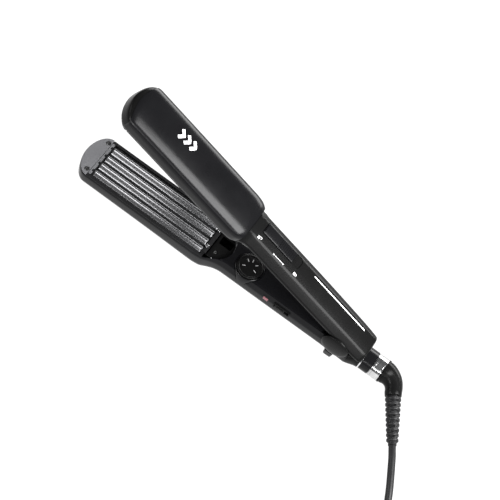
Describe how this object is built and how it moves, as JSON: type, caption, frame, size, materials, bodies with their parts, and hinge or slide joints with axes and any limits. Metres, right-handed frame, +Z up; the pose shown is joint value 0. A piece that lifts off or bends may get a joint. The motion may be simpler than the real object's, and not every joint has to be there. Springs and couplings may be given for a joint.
{
  "type": "hair crimper",
  "caption": "Hinged hair crimper with two corrugated heating plates, a lock slider, a temperature dial, a power switch and a swivel mains cord.",
  "frame": {"origin": "middle of the iron's footprint on the table, under its rubber feet", "axes": "+X along the lower arm towards the cord, +Z up, so the near side of the handle with its switch faces -Y"},
  "size_m": [0.5308, 0.1992, 0.1538],
  "materials": {
    "gloss_black": "high gloss",
    "satin_black": "satin",
    "inner_black": "matt",
    "plate_coating": "satin ceramic coating",
    "steel": "plain",
    "chrome": "polished",
    "rubber": "matt",
    "red_lens": "tinted, translucent",
    "board": "resin",
    "ceramic": "ceramic"
  },
  "bodies": {
    "lower_arm": {"lower_outer_shell": "gloss_black", "lower_inner_cover": "gloss_black", "lower_plate_frame": "inner_black", "lower_crimp_plate": "plate_coating", "lower_heater": "ceramic", "lower_tip_cap": "satin_black", "lower_tip_screw_near": "steel", "lower_tip_screw_far": "steel", "plate_retainer": "inner_black", "lock_deck": "satin_black", "deck_screw": "steel", "dial_bezel": "satin_black", "rotary_switch": "inner_black", "control_board": "board", "indicator_lens": "red_lens", "switch_module": "inner_black", "front_foot": "rubber", "rear_foot_near": "rubber", "rear_foot_far": "rubber", "hinge_pin": "steel", "hinge_cover_near": "satin_black", "hinge_cover_far": "satin_black", "opening_spring": "steel", "tail_housing": "satin_black", "tail_trim_ring": "chrome", "swivel_collar": "gloss_black", "swivel_ring": "chrome", "cord_lead": "rubber", "cord_coil": "rubber", "cord_tail": "rubber", "cable_tie": "rubber", "plug_body": "satin_black", "plug_pin_left": "steel", "plug_pin_right": "steel"},
    "upper_arm": {"upper_head_shell": "gloss_black", "upper_handle_cover": "satin_black", "upper_inner_cover": "satin_black", "upper_plate_frame": "inner_black", "upper_crimp_plate": "plate_coating", "upper_heater": "ceramic", "upper_tip_cap": "satin_black", "upper_tip_screw_near": "steel", "upper_tip_screw_far": "steel"},
    "lock_slider": {"lock_button": "satin_black", "lock_hook": "satin_black"},
    "temperature_dial": {"dial_knob": "satin_black", "dial_spindle": "steel"},
    "power_switch": {"power_slider": "satin_black"},
    "cord_swivel": {"swivel_elbow": "satin_black", "strain_relief": "rubber"}
  },
  "joints": [
    {"name": "arm_hinge", "type": "hinge", "parent": "lower_arm", "child": "upper_arm", "pos_m": [0.1185, 0, 0.027], "axis": [0, -1, 0], "range_deg": [0, 22.6], "stiffness_Nm_per_rad": 0.3, "springref_deg": -114.59},
    {"name": "lock_slide", "type": "slide", "parent": "upper_arm", "child": "lock_slider", "axis": [0.9219, 0, -0.3875], "range_m": [0, 0.007]},
    {"name": "dial_turn", "type": "hinge", "parent": "lower_arm", "child": "temperature_dial", "pos_m": [0.0159, -0.003, 0.027], "axis": [0, 0, 1], "range_deg": [-175, 50]},
    {"name": "power_slide", "type": "slide", "parent": "lower_arm", "child": "power_switch", "axis": [1, 0, 0], "range_m": [0, 0.004]},
    {"name": "cord_swivel", "type": "hinge", "parent": "lower_arm", "child": "cord_swivel", "pos_m": [0.1685, 0, 0.0119], "axis": [1, 0, 0], "continuous": true}
  ]
}
